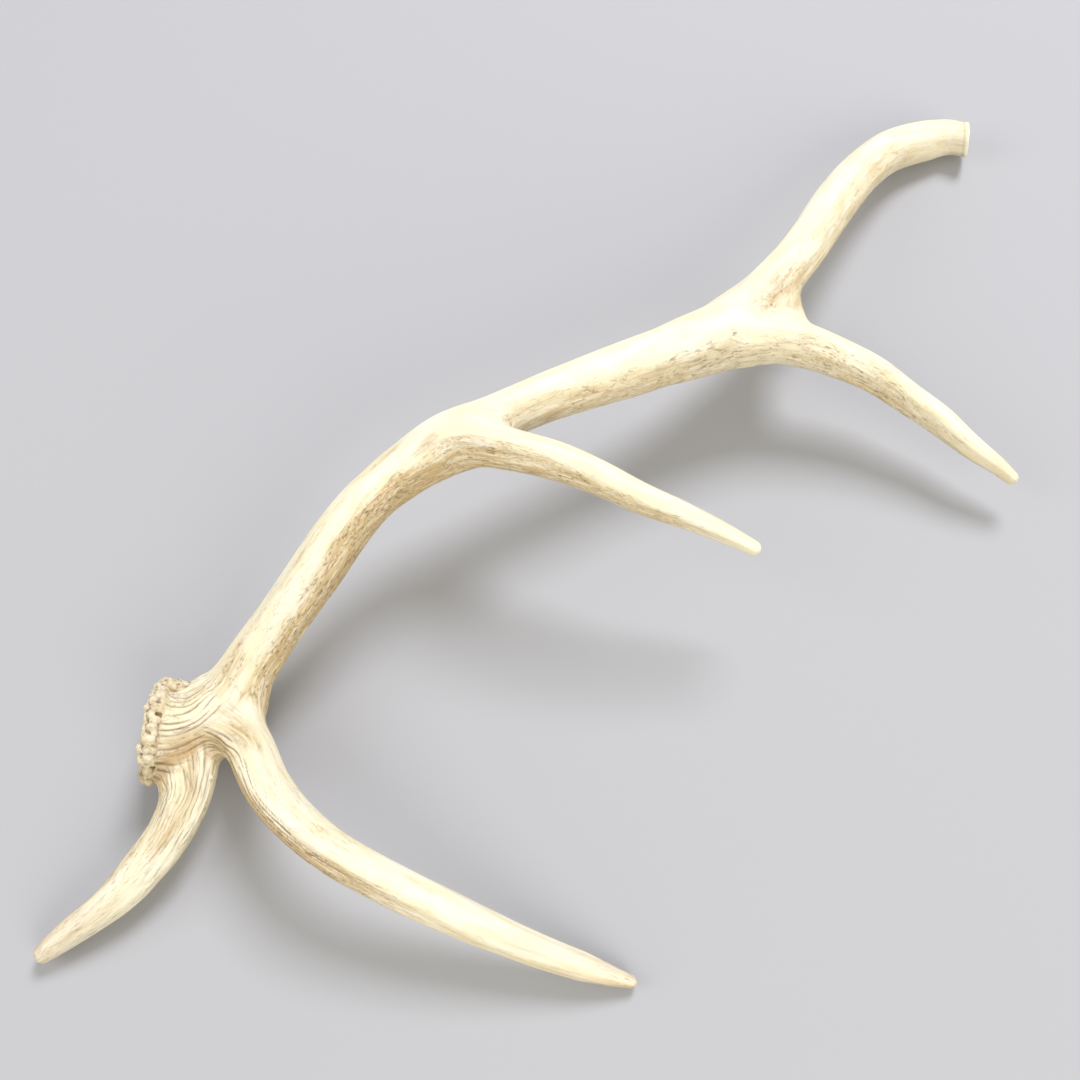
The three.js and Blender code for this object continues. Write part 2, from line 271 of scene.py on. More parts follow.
def noise(x, y, z, seed=0):
    """Smooth gradient noise, about -1 to 1.

    Each corner of a lattice of unit cells has a slope of its own, made by hashing its
    whole coordinates and the seed. The heights that the eight slopes give at a point are
    mixed by 6t^5 - 15t^4 + 10t^3 along each of the three directions.
    """
    cells = [np.floor(c).astype(np.int64) for c in (x, y, z)]
    parts = [c - k for c, k in zip((x, y, z), cells)]
    eased = [p ** 3 * (p * (p * 6 - 15) + 10) for p in parts]
    total = 0
    for corner in range(8):
        step = (corner & 1, corner >> 1 & 1, corner >> 2)
        mix = seed * 7919
        for k, d, prime in zip(cells, step, (73856093, 19349663, 83492791)):
            mix = mix ^ (k + d) * prime
        mix = (mix ^ mix >> 13) * 1274126177 & 0x7FFFFFFF
        mix = (mix ^ mix >> 15) * 2246822519 & 0x7FFFFFFF
        lean = [(mix >> bits & 255) / 127.5 - 1 for bits in (0, 8, 16)]
        weight, reach = 1, 0
        for p, e, d, g in zip(parts, eased, step, lean):
            weight = weight * (e if d else 1 - e)
            reach = reach + g * (p - d)
        total = total + weight * reach
    return 1.5 * total


# ---- Skin ---------------------------------------------------------------------
# One skin over all the limbs and the burr. The forks are filleted: where two limbs'
# skins are nearer to each other than the fillet, they swell together.
FINE_VOXEL = 0.85
VOXEL = FINE_VOXEL      # mm, the size of the skin's quads
BURR_AXIS = np.array([0.71, -0.63, -0.31])     # from the burr's foot towards the beam
BURR_AXIS /= np.linalg.norm(BURR_AXIS)
burr_up = np.array(VIEW_UP)
burr_up -= burr_up @ BURR_AXIS * BURR_AXIS
burr_up /= np.linalg.norm(burr_up)
burr_side = np.cross(burr_up, BURR_AXIS)
burr_axes = np.array([burr_side, burr_up, BURR_AXIS])
seat = beam.axis[0]
RIDGE_AT = seat + 32.5 * burr_up + 13 * BURR_AXIS     # a long ridge behind the burr's rim
RIDGE = (8.5, 8.5, 16.5)                              # and half its size, across and along


def in_burr(points):
    """1 in the burr's rim and its ridge, falling to 0 on the limbs.

    The rim ends between 8 and 11.5 mm above the seat, along an uneven line, and between
    46 and 54 mm out from the axis.
    """
    across, along, height = ((points - seat) @ burr_axes.T).T
    height = height + 1.8 * noise(*(points / 6).T, 61)
    rim = smoothstep(11.5, 8.0, height) * smoothstep(54, 46, np.hypot(across, along))
    ridge = np.linalg.norm((points - RIDGE_AT) @ burr_axes.T / RIDGE, axis=1)
    return np.maximum(rim, smoothstep(1.35, 1.05, ridge))


def skin_distance(points):
    """Distance to the filleted skin, its direction, and each limb's own measures.

    Where two distances differ by less than the fillet k, the lesser is lowered by
    k / 4 times the square of how close they are, from 0 to 1.
    """
    found = [limb.locate(points) for limb in limbs]
    distance, away = found[0][0].copy(), found[0][3].copy()
    for limb, (own, _, _, direction) in zip(limbs[1:], found[1:]):
        k = limb.fillet
        close = np.clip(1 - np.abs(distance - own) / k, 0, 1)
        share = np.where(own < distance, 1 - close / 2, close / 2)
        distance = np.minimum(distance, own) - close ** 2 * k / 4
        away = away * (1 - share[:, None]) + direction * share[:, None]
    return distance, away, found


def settle(points, turns=3):
    """Moves points onto the filleted skin, except in the burr.

    Each move is the distance over the squared length of its direction, plus a little,
    which keeps it small where the directions of two limbs cancel.
    """
    free = 1 - in_burr(points)[:, None]
    little = 0.05
    for _ in range(turns):
        distance, away, _ = skin_distance(points)
        slope = (away ** 2).sum(1) + little
        points = points - free * away * (distance / slope)[:, None]
    return points


def round_stone(centre, radii, axes, turns=12, rings=7):
    """A closed ellipsoid, given as rings of points with a pole at each end."""
    tilt = np.linspace(0, np.pi, rings + 2)[1:-1][:, None, None]
    turn = np.linspace(0, 2 * np.pi, turns, endpoint=False)[None, :, None]
    local = np.concatenate([np.sin(tilt) * np.cos(turn), np.sin(tilt) * np.sin(turn),
                            np.cos(tilt) + 0 * turn], -1).reshape(-1, 3)
    local = np.vstack([local, [0, 0, 1], [0, 0, -1]])
    points = centre + (local * radii) @ axes
    i, j = np.meshgrid(np.arange(rings - 1), np.arange(turns), indexing="ij")
    a, b = i * turns + j, i * turns + (j + 1) % turns
    quads = np.stack([a, a + turns, b + turns, b], -1).reshape(-1, 4)
    j = np.arange(turns)
    after, top = (j + 1) % turns, rings * turns
    last = (rings - 1) * turns
    caps = np.vstack([np.stack([j * 0 + top, j, after], 1),
                      np.stack([j * 0 + top + 1, last + after, last + j], 1)])
    return points, quads, caps


points, faces = fused([limb.tube(spacing=4.0) for limb in limbs], voxel=2.5)
fleshed = (settle(points), faces, np.empty((0, 3), int))

# The burr: a disc with a low seal below it. Small uneven pearls crust the side next to
# the limbs, and stand in a few heaps on the rim. Turn 0 faces away from the camera, a
# quarter turn faces up in its view, and half a turn faces the camera.
# Heaps are (turn, width, rise) and single pearls (turn, level, size), with turns and
# widths in radians.
HEAPS = ((1.25, 0.20, 2.4), (-0.02, 0.16, 2.6), (-1.22, 0.16, 2.6), (2.3, 0.3, 1.8),
         (3.5, 0.4, 1.2), (4.4, 0.25, 2.0))
SINGLE_PEARLS = ((0.62, 4.8, 4.3), (0.29, 3.6, 4.7), (0.97, 5.2, 3.8), (0.02, 5.6, 3.9),
                 (-0.14, 2.8, 4.2), (-1.17, 4.4, 4.4), (1.28, 6.4, 4.2), (-0.62, 6.4, 2.4),
                 (2.9, 3.5, 4.0), (3.9, 4.5, 3.6), (-1.9, 3.0, 4.2), (2.2, 5.0, 4.1))
stones = [round_stone(seat + 2.2 * BURR_AXIS, (36.4, 36.4, 6.5), burr_axes, 48, 16),
          round_stone(seat - 0.5 * BURR_AXIS, (33.5, 33.5, 5.8), burr_axes, 48, 16),
          round_stone(RIDGE_AT, RIDGE, burr_axes, 20, 12)]
rng = np.random.default_rng(11)


def pearl(turn, reach, level, size):
    """Adds an uneven pearl, reach from the burr's axis and level above its seat."""
    out = np.cos(turn) * burr_side + np.sin(turn) * burr_up
    stones.append(round_stone(
        seat + out * reach + BURR_AXIS * level,
        (size, size * rng.uniform(0.8, 1.4), size * rng.uniform(0.8, 1.3)),
        np.array([out, np.cross(BURR_AXIS, out), BURR_AXIS])))


# Rows of pearls, from the seal up: (level, count, reach, size).
PEARL_ROWS = ((-2.2, 30, 33.6, 1.9), (0.8, 36, 36.6, 2.3), (3.6, 38, 37.4, 2.6),
              (6.4, 38, 37.0, 2.7), (8.8, 36, 35.6, 2.3))
for row, (level, count, reach, size) in enumerate(PEARL_ROWS):
    for n in range(count):
        turn = 2 * np.pi * (n + 0.5 * (row % 2) + rng.uniform(-0.45, 0.45)) / count
        heap = sum(rise * np.exp(-(((turn - at + np.pi) % (2 * np.pi) - np.pi) / wide) ** 2)
                   for at, wide, rise in HEAPS)
        lump = size * rng.choice((0.55, 0.8, 1.1, 1.5)) * rng.uniform(0.85, 1.15) + 0.3 * heap
        bare = heap < 0.5 and rng.uniform() < (0.8 if level < 3 else 0.45)
        place = reach + 0.9 * heap + rng.uniform(-1.6, 0.9) - 0.35 * lump
        if not bare:
            pearl(turn, place, level + rng.uniform(-0.9, 0.9), lump)
for turn, level, size in SINGLE_PEARLS:
    pearl(turn, 38.4 - 0.4 * size, level, size)
for _ in range(18):       # strays on the foot of the limbs
    pearl(rng.uniform(0, 2 * np.pi), 34.0, rng.uniform(9.0, 12.0), rng.uniform(1.3, 2.8))
for _ in range(26):       # and on the ridge
    turn, along = rng.uniform(-1.9, 1.9), rng.uniform(-0.8, 0.85)
    slim = (1 - along ** 2) ** 0.5
    size = rng.uniform(1.0, 2.2)
    spot = np.array([np.sin(turn) * slim, np.cos(turn) * slim, along]) * RIDGE
    stones.append(round_stone(RIDGE_AT + spot @ burr_axes, (size, size, 1.3 * size), burr_axes))

points, faces = fused([fleshed] + stones, VOXEL)
points = settle(points)


def calmed(points, faces, turns, share=1.0):
    """Points moved by a share of the way to the mean of their neighbours, turns times."""
    a, b, count = faces.ravel(), np.roll(faces, -1, 1).ravel(), len(points)
    shared = np.maximum(np.bincount(a, minlength=count) + np.bincount(b, minlength=count), 1)
    for _ in range(turns):
        mean = np.stack([(np.bincount(a, points[b, i], count)
                          + np.bincount(b, points[a, i], count)) / shared for i in range(3)], 1)
        points = points + share * (mean - points)
    return points


NO_TIP = 400           # mm, stands for the distance to a tip on the beam, which has none
CALM_TURNS = 36        # rounds of smoothing for the fine skin


def nearest_limb(own, measured):
    """Which limb each point lies on, its distance along it, and how far the tip is."""
    limb_of = own.argmin(1)
    s_own = np.stack([m[1] for m in measured[:5]], 1)[np.arange(len(own)), limb_of]
    lengths = np.array([limb.length for limb in grown])
    return limb_of, s_own, np.where(limb_of == 0, NO_TIP, lengths[limb_of] - s_own)


# The creases on the inner side of sharp bends and in the forks are rounded off.
_, _, measured = skin_distance(points)
own = np.stack([m[0] for m in measured[:5]], 1)
_, _, to_tip = nearest_limb(own, measured)
yielding = (1 - in_burr(points)) * smoothstep(20, 60, to_tip)
points = calmed(points, faces, round(CALM_TURNS * (FINE_VOXEL / VOXEL) ** 2), yielding[:, None])
_, _, measured = skin_distance(points)

# The far end of the beam is sawn off a little aslant, just past its last station.
CUT_PAST, LEAN_SIDE, LEAN_UP, END_REACH = 3.3, 0.31, 0.03, 40
end_point, _, end_way, end_side, end_up = [a[0] for a in beam.at([beam.length])]
end_point = end_point + CUT_PAST * end_way
end_way = end_way + LEAN_SIDE * end_side + LEAN_UP * end_up
end_way /= np.linalg.norm(end_way)
near_end = np.linalg.norm(points - end_point, axis=1) < END_REACH
gone = near_end & ((points - end_point) @ end_way > 0.5 * VOXEL)
faces = faces[~gone[faces].any(1)]

# Which limb each point lies on, and how much of each limb's own grain it shows: its share
# falls by e for each BLEND mm that it lies further off. The brow's root counts as up to
# 7 mm further off than it is, so the bone round it keeps the beam's grain.
BLEND = 3.5
own = np.stack([m[0] for m in measured[:5]], 1)
own[:, 1] += 7.0 * smoothstep(48, 22, measured[1][1])
limb_of, s_own, to_tip = nearest_limb(own, measured)
blend = np.exp(-np.clip(own - own.min(1)[:, None], 0, 60) / BLEND)
blend /= blend.sum(1)[:, None]


def mixed(values):
    """One number a point from one number a limb and point."""
    return (np.stack(values, 1) * blend).sum(1)


# ---- Relief -------------------------------------------------------------------
# Low flutes as in the CAD model. Deep even grooves leave the burr and thin out along
# the beam, the brow and the bez tine; finer winding ones cover the rest of the bone.
GIRTH = 18.0                      # mm, the radius that each limb's grain is rolled onto
SUNNY_SIDE = np.radians(-70)      # the angle round a limb that stayed palest
GROOVES_ROUND = 38                # deep grooves in a full turn
grain = [path.locate(points)[1:3] for path in grain_paths]
rolled = [np.stack([GIRTH * np.cos(phi), GIRTH * np.sin(phi), s], 1) for s, phi in grain]
on_limb = 1 - in_burr(points)


def dull_side(phi):
    """How far an angle lies round to the stained side of a limb, 0 to 1.

    It rises sooner one way round from the pale side than the other.
    """
    from_sun = (phi - SUNNY_SIDE + np.pi) % (2 * np.pi) - np.pi
    return np.where(from_sun > 0, smoothstep(0.9, 2.6, from_sun), 0.5 - 0.5 * np.cos(from_sun))


# The deep grooves: how far they reach along the grain, the length of their waves and
# their depth. On the bez tine they reach further round on the stained side.
bez_reach = 75 + 230 * smoothstep(0.04, 0.24, dull_side(grain[2][1]))
DEEP = ((95, 40, 1.0), (150, 22, 0.65), (bez_reach, 40, 1.0), None, None)

flutes, trunk_grooves, fine_grooves, swells = [], [], [], []
for limb, measure, (s, phi), (gx, gy, _), deep in zip(
        grown, measured, grain, [r.T for r in rolled], DEEP):
    own_s, own_phi = measure[1], measure[2]
    radius = limb.at(own_s)[1][:, 0]
    # Low flutes, 2, 3, 5 and 8 round the limb, which drift round it further along.
    drift = own_s * 0.012 + limb.phase
    flutes.append((0.45 * np.sin(3 * own_phi + drift) + 0.35 * np.sin(5 * own_phi - 1.7 * drift)
                   + 0.3 * np.sin(8 * own_phi + 2.3 * drift)
                   + 0.25 * np.sin(2 * own_phi - own_s * 0.045))
                  * 0.9 * np.clip(radius / 12, 0, 1))
    # Deep grooves, evenly spaced, wavy and of uneven depth.
    if deep is None:
        trunk_grooves.append(0 * s)
    else:
        far, wave, depth = deep
        turn = (GROOVES_ROUND / 2 * phi + 2.4 * noise(gx / 9, gy / 9, s / wave, 15)
                + 0.8 * noise(gx / 4, gy / 4, 1.8 * s / wave, 16))
        uneven = np.clip(0.65 + 1.25 * noise(gx / 4, gy / 4, 1.6 * s / wave, 17), 0, 1.4)
        trunk_grooves.append(depth * smoothstep(far, 0.45 * far, s) * uneven
                             * np.exp(-(np.sin(turn) / 0.42) ** 2))
    # Fine grooves run where wandering noise drawn out along the grain passes zero.
    wander = 5 * noise(gx / 30, gy / 30, s / 60, 3)
    wide = noise((gx + wander) / 6.0, (gy - wander) / 6.0, s / 52, 5)
    narrow = noise((gx - wander) / 3.6, (gy + wander) / 3.6, s / 24, 9)
    patch = np.clip(0.45 + 1.5 * noise(gx / 9, gy / 9, s / 26, 25), 0, 1)
    thin = np.clip(radius / GIRTH, 0, 1)
    fine_grooves.append(thin * patch * (np.exp(-(wide / 0.10) ** 2)
                                        + 0.6 * np.exp(-(narrow / 0.10) ** 2)))
    swells.append(thin * noise(gx / 9, gy / 9, s / 26, 21))
flute, trunk_groove = mixed(flutes), mixed(trunk_grooves)
fine_groove, swell = mixed(fine_grooves), mixed(swells)

# How rough the skin is along the grain: rough at the burr, nearly smooth on the tips and
# the sawn branch, and roughest on the brow.
ROUGH = ((0, 1.0), (120, 0.8), (300, 0.6), (450, 0.5), (650, 0.4), (760, 0.2), (930, 0.12),
         (950, 0.04))
BROW_ROUGH = 1.35
rows = np.arange(len(points))
rough = np.interp(np.stack([s for s, _ in grain], 1)[rows, limb_of], *zip(*ROUGH))
rough = np.where(limb_of == 1, BROW_ROUGH, rough) * smoothstep(0, 90, to_tip)

lift = on_limb * flute * smoothstep(0, 40, to_tip)
lift -= on_limb * (1.25 * trunk_groove + rough * (0.5 * fine_groove - 0.22 * swell))
# A raised lip round the sawn end, a small thorn on the brow, and the burr's pitted crust.
LIP_HEIGHT, LIP_BACK, LIP_WIDTH = 0.8, 1.5, 1.8
lift += LIP_HEIGHT * near_end * np.exp(
    -((((points - end_point) @ end_way) + LIP_BACK) / LIP_WIDTH) ** 2)
THORN_S, THORN_PHI, THORN_HEIGHT, THORN_WIDTH = 27.0, -0.33, 2.2, 1.5
thorn_at, thorn_r, _, thorn_side, thorn_up = [a[0] for a in brow.at([THORN_S])]
thorn_at = thorn_at + thorn_r * (np.cos(THORN_PHI) * thorn_side + np.sin(THORN_PHI) * thorn_up)
from_thorn = np.linalg.norm(points - thorn_at, axis=1)
lift += THORN_HEIGHT * np.exp(-(from_thorn / THORN_WIDTH) ** 2)
lift += (1 - on_limb) * 0.4 * noise(*(points / 2.2).T, 31)


def skin_normals(points):
    """The smooth normals of the skin's faces with its points at these places."""
    trial = mesh_from("trial", points, [faces])
    found = np.empty(len(points) * 3, np.float32)
    trial.vertices.foreach_get("normal", found)
    bpy.data.meshes.remove(trial)
    return found.reshape(-1, 3)


points = points + skin_normals(points) * lift[:, None]

# Points on the cut's edge, which fewer than four faces use, are set onto its plane.
edge = near_end & (np.abs((points - end_point) @ end_way) < 1.2 * VOXEL)
used = np.bincount(faces.ravel(), minlength=len(points))
edge_ring = edge & (used > 0) & (used < 4)
points[edge_ring] -= ((points[edge_ring] - end_point) @ end_way)[:, None] * end_way

normals = skin_normals(points)

# How far each point lies below the skin smoothed over a few millimetres, in mm.
hollow = ((calmed(points, faces, 8) - points) * normals).sum(1)

# ---- Finish -------------------------------------------------------------------
# Ivory bone, brown where it was stained: on the underside and the inner side of the
# bends. Dark flecks lie in the stained parts. Dirt and painted shade darken the grooves,
# the hollows and the gaps between the pearls, and painted shade greys the crotch of the
# last fork and the shaded side of the sawn end. The tips are pale and rubbed smooth.

# How the beam, brow, bez, trez and crown are coloured along their lengths: (s, stain on
# the dull side, flecks there, stain all round).
TONES = (
    ((0, .85, .9, .28), (50, .66, .7, .10), (95, .65, .9, .06), (130, .85, 1.0, .11),
     (220, 1.0, 1.0, .08), (265, .9, 1.0, 0), (295, 1.5, 1.0, .05), (325, .8, .6, 0),
     (345, .35, .35, 0), (390, .5, .6, 0), (420, .65, .7, 0), (470, .6, .7, 0), (560, .5, .8, 0),
     (610, .6, .9, .05), (640, .6, .6, .03), (690, .6, .40, 0), (760, .6, .35, 0),
     (900, .45, .3, 0), (940, .35, .1, .03), (975, .2, 0, .05)),
    ((0, .50, .7, .16), (60, .40, .7, .15), (120, .45, .8, .13), (170, .45, .8, .16),
     (200, .4, .5, .18), (215, .3, .1, .06)),
    ((0, 1.1, .7, .07), (50, 1.0, .7, .05), (95, .8, .7, .06), (130, 1.0, 1.0, .12),
     (170, .9, 1.0, .10), (215, .6, .8, .04), (250, .4, .25, 0), (330, .4, .15, 0),
     (380, .5, .2, .06), (425, .8, .3, .25)),
    ((0, 1.3, 1.0, 0), (40, .9, 1.0, 0), (110, .7, .9, .03), (150, .7, .9, .03),
     (225, .6, .8, 0), (260, .4, .3, 0), (290, .25, .1, 0)),
    ((0, .6, .9, .04), (60, .35, .6, .04), (120, .45, .8, 0), (175, .65, 1.0, .10),
     (215, .5, .6, 0), (260, .45, .4, 0), (285, .35, .2, .08)),
)
tone = np.zeros((3, len(points)))
for mine, measure, stops in zip(blend.T, measured, TONES):
    at, *levels = np.array(stops).T
    for k, level in enumerate(levels):
        tone[k] += mine * np.interp(measure[1], at, level)
dull_stain, dull_flecks, all_round = tone

turned = mixed([dull_side(phi) for _, phi in grain])
cloud = mixed([noise(*(place / (16, 16, 60)).T, 41) + 0.5 * noise(*(place / (6, 6, 28)).T, 42)
               for place in rolled])
stain = np.clip(dull_stain * smoothstep(0.0, 0.42, turned + 0.30 * cloud) * 1.1
                + all_round * (1 + 0.9 * cloud), 0, 1.3)
flecked = np.clip(dull_flecks * smoothstep(-0.02, 0.24, turned + 0.20 * cloud), 0, 1)
flecked = np.maximum(flecked, np.clip(4.5 * all_round, 0, 0.75))
# Dirt and painted shade darken the hollows and the deep grooves, more on the stained
# side, and the dull side of the beam's foot is darker. The burr is dirty all over, and
# painted shade darkens it most between the pearls.
dirt_and_painted_shade = np.clip(smoothstep(0.03, 0.50, hollow) * (0.6 + 0.5 * turned)
               + trunk_groove * on_limb * (0.65 + 0.9 * turned)
               + 0.5 * turned * (1 + cloud) * smoothstep(70, 35, s_own) * (limb_of == 0), 0, 1)
dirt_and_painted_shade = np.maximum(dirt_and_painted_shade, (1 - on_limb) * (0.12 + 0.88 * smoothstep(-0.12, 0.40, hollow)))
# A thin line of painted shade where the lip of the sawn end begins, and clean bone on the lip.
FAR_OFF = 99           # mm, on everything but the sawn end
to_cut = np.where(near_end, (end_point - points) @ end_way, FAR_OFF)
dirt_and_painted_shade = np.maximum(dirt_and_painted_shade, 0.35 * np.exp(-((to_cut - 4.4) / 0.8) ** 2))
stain, flecked = stain * smoothstep(2, 6, to_cut), flecked * smoothstep(2, 6, to_cut)
# The flecks grow from small dots low on the beam to long sparse dashes on the outer limbs,
# given for each limb as (s, share of dashes).
COARSE = (((0, .4), (100, .1), (280, .1), (330, .4), (450, .8)), ((0, .3), (60, .45)),
          ((0, .1), (100, .4), (220, .8)), ((0, .3), (120, .7)), ((0, .8), (1, .8)))
coarse = mixed([np.interp(m[1], *zip(*stops)) for m, stops in zip(measured, COARSE)])
# The burr has no grain: it is mottled evenly all over.
on_burr = on_limb < 0.5
blotch = noise(*(points / 11).T, 51) + 0.5 * noise(*(points / 4).T, 52)
stain = np.where(on_burr, np.clip(0.42 + 0.4 * blotch, 0, 1), stain)
flecked = np.where(on_burr, 0.55, flecked)
polish = smoothstep(70, 10, to_tip)

# The shader draws streaks in two grains, the beam's and that of the nearest tine, and
# mixes them. The brow's grain is drawn out further than the others.
rolled[1][:, 2] *= 0.6
nearest_tine = own[:, 1:5].argmin(1) + 1
burr_place = points * (1, 1, 2.5)
grain_a = np.where(on_burr[:, None], burr_place, rolled[0])
grain_b = np.where(on_burr[:, None], burr_place, np.stack(rolled, 1)[rows, nearest_tine])
grain_mix = 1 - blend[:, 0]

# Greyed bone on the tips of the first two tines, and painted shade that greys the crotch
# of the last fork and the shaded side of the sawn end.
grey_and_painted_shade = (np.where(limb_of == 1, smoothstep(90, 25, to_tip), 0) * 0.8
        + np.where(limb_of == 2, smoothstep(40, 10, to_tip), 0) * 0.4)
from_crotch = np.linalg.norm(points - WEB[1][:3], axis=1)
grey_and_painted_shade = np.maximum(grey_and_painted_shade, 0.65 * np.exp(-(from_crotch / 32) ** 2))
grey_and_painted_shade = np.maximum(grey_and_painted_shade, smoothstep(34, 8, to_cut) * smoothstep(1.5, 3, to_cut)
                  * (0.15 + 0.85 * turned))


class Wire:
    """A shader socket. Sums on wires add their Math nodes; node() adds any other node."""

    def __init__(self, tree, socket=None):
        self.tree, self.socket = tree, socket

    def node(self, kind, settings, inputs, out=0):
        made = self.tree.nodes.new(kind)
        for key, value in settings.items():
            setattr(made, key, value)
        for key, value in inputs.items():
            if isinstance(value, Wire):
                self.tree.links.new(value.socket, made.inputs[key])
            else:
                made.inputs[key].default_value = value
        return Wire(self.tree, made.outputs[out])

    def math(self, operation, first, second=0.0, clamp=False):
        return self.node("ShaderNodeMath", {"operation": operation, "use_clamp": clamp},
                         {0: first, 1: second})

    def __add__(self, other):
        return self.math("ADD", self, other)

    def __radd__(self, other):
        return self.math("ADD", other, self)

    def __sub__(self, other):
        return self.math("SUBTRACT", self, other)

    def __rsub__(self, other):
        return self.math("SUBTRACT", other, self)

    def __mul__(self, other):
        return self.math("MULTIPLY", self, other)

    def __rmul__(self, other):
        return self.math("MULTIPLY", other, self)


def bone_finish(name, roughness):
    """Bone coloured by the skin's own fields, with streaks and flecks along the grain."""
    material = bpy.data.materials.new(name)
    material.use_nodes = True
    tree = material.node_tree
    shader = tree.nodes["Principled BSDF"]
    start = Wire(tree)

    def field(label, out="Fac"):
        return start.node("ShaderNodeAttribute", {"attribute_name": label}, {}, out)

    def colour(factor, first, second):
        return start.node("ShaderNodeMix", {"data_type": "RGBA"},
                          {"Factor": factor, "A": first, "B": second}, "Result")

    def step(low, high, value):
        return start.node("ShaderNodeMapRange", {"interpolation_type": "SMOOTHSTEP"},
                          {"Value": value, "From Min": low, "From Max": high})

    grains, share = (field("grain_a", "Vector"), field("grain_b", "Vector")), field("grain_mix")

    def along(width, length, offset, detail=1.0):
        """Noise drawn out along the grain, width by length millimetres."""
        both = []
        for place in grains:
            scaled = start.node("ShaderNodeVectorMath", {"operation": "MULTIPLY_ADD"},
                                {0: place, 1: (1 / width, 1 / width, 1 / length),
                                 2: (offset, -offset, 3 * offset)}, "Vector")
            both.append(start.node("ShaderNodeTexNoise", {},
                                   {"Vector": scaled, "Scale": 1.0, "Detail": detail}, "Fac"))
        return start.node("ShaderNodeMix", {}, {"Factor": share, "A": both[0], "B": both[1]},
                          "Result")

    # Ivory and cream in long streaks, greyed (grey tips, and painted shade in the last crotch
    # and on the sawn end's shaded side), then stained tan along the fibres.
    stained, flecked, dirt_and_shade_amount = field("stain"), field("flecked"), field("dirt_and_painted_shade")
    fibres = along(2.2, 26, 3.0, 2.0)
    mottle = along(7, 30, 11.0, 2.0)
    base = colour(step(0.3, 0.7, mottle), (*IVORY, 1), (*CREAM, 1))
    base = colour(field("grey_and_painted_shade") * 0.75, base, (*GREY_AND_SHADE_COLOUR, 1))
    browned = stained * (0.6 + 0.9 * (step(0.3, 0.7, fibres) - 0.25))
    base = colour(start.math("MAXIMUM", browned, 0.0, True), base, (*TAN, 1))
    # Dots in patches, each with a tan halo, and thin lines and dashes along the grain.
    patches = step(0.0, 0.22, along(6, 13, 27.0) + 0.34 * flecked - 0.64)
    dapple = along(1.15, 3.2, 21.0, 2.0)
    halo = start.math("MINIMUM", 0.2 + 0.5 * stained, 0.6)
    base = colour(step(0.42, 0.60, dapple) * patches * flecked * halo, base, (*TAN, 1))
    spots = step(0.53, 0.65, dapple) * patches
    lines = (step(0.07, 0.0, start.math("ABSOLUTE", along(2.4, 15, 33.0) - 0.5))
             * step(0.42, 0.60, along(5, 10, 38.0)))
    coarse = field("coarse")
    dashes = step(0.58, 0.64, along(2.0, 7.5, 52.0)) * step(0.40, 0.55, along(9, 22, 61.0))
    fine = (0.62 * spots + 0.6 * lines) * (1 - 0.6 * coarse)
    dark = start.math("MINIMUM", (fine + 0.8 * dashes * coarse) * flecked, 1.0, True)
    base = colour(dark, base, (*BROWN, 1))
    # Dirt, and painted shade in the hollows, the grooves and between the pearls.
    base = colour(dirt_and_shade_amount * 0.8, base, (*DIRT_AND_SHADE_BROWN, 1))
    tree.links.new(base.socket, shader.inputs["Base Color"])
    # Stained bone is rougher, and so is bone where dirt and painted shade are laid on;
    # rubbed bone is smoother. The flecks are pits.
    dull = roughness + 0.12 * stained + 0.15 * dirt_and_shade_amount - 0.22 * field("polish")
    tree.links.new(dull.socket, shader.inputs["Roughness"])
    height = 0.6 * fibres + 0.5 * along(1.1, 3.0, 44.0) - 0.8 * dark
    bump = start.node("ShaderNodeBump", {},
                      {"Height": height, "Strength": 0.35, "Distance": 0.0006}, "Normal")
    tree.links.new(bump.socket, shader.inputs["Normal"])
    return material


IVORY, CREAM = (0.87, 0.828, 0.65), (0.845, 0.775, 0.52)
# Grey bone, also used as painted shade, and tan stain.
GREY_AND_SHADE_COLOUR, TAN = (0.72, 0.64, 0.50), (0.57, 0.42, 0.21)
# Brown flecks, and a dirt brown that is also used as painted shade.
BROWN, DIRT_AND_SHADE_BROWN = (0.21, 0.145, 0.08), (0.24, 0.155, 0.085)
bone = bone_finish("antler_bone", 0.5)
burr_bone = bone_finish("burr_bone", 0.62)

# The sawn face: a pale hard rim and a darker spongy middle. The field "core" is 0 round
# the face's edge and 1 in its middle.
cut_face = bpy.data.materials.new("sawn_face")
cut_face.use_nodes = True
cut = Wire(cut_face.node_tree)
spot = cut.node("ShaderNodeTexCoord", {}, {}, "Object")
pores = cut.node("ShaderNodeTexNoise", {},
                 {"Vector": spot, "Scale": 900.0, "Detail": 2.0}, "Fac")
core = cut.node("ShaderNodeAttribute", {"attribute_name": "core"}, {}, "Fac")
marrow = cut.node("ShaderNodeMapRange", {"interpolation_type": "SMOOTHSTEP"},
                  {"Value": core, "From Min": 0.25, "From Max": 0.45})
shade = cut.node("ShaderNodeMix", {"data_type": "RGBA"},
                 {"Factor": marrow * (0.35 + pores * 0.8), "A": (*IVORY, 1), "B": (*TAN, 1)},
                 "Result")
face_shader = cut_face.node_tree.nodes["Principled BSDF"]
face_shader.inputs["Roughness"].default_value = 0.7
cut_face.node_tree.links.new(shade.socket, face_shader.inputs["Base Color"])

# ---- Pieces -------------------------------------------------------------------
# The skin is parted where the CAD pieces part, and each piece is closed with a flat
# end inside the bone.
NAMES = ("burr_base", "main_beam", "upper_beam", "sawn_branch",
         "brow_tine", "bez_tine", "trez_tine", "crown_tine")
BEAM_PARTS = (118, 430, 700)      # mm along the beam, where its four pieces part
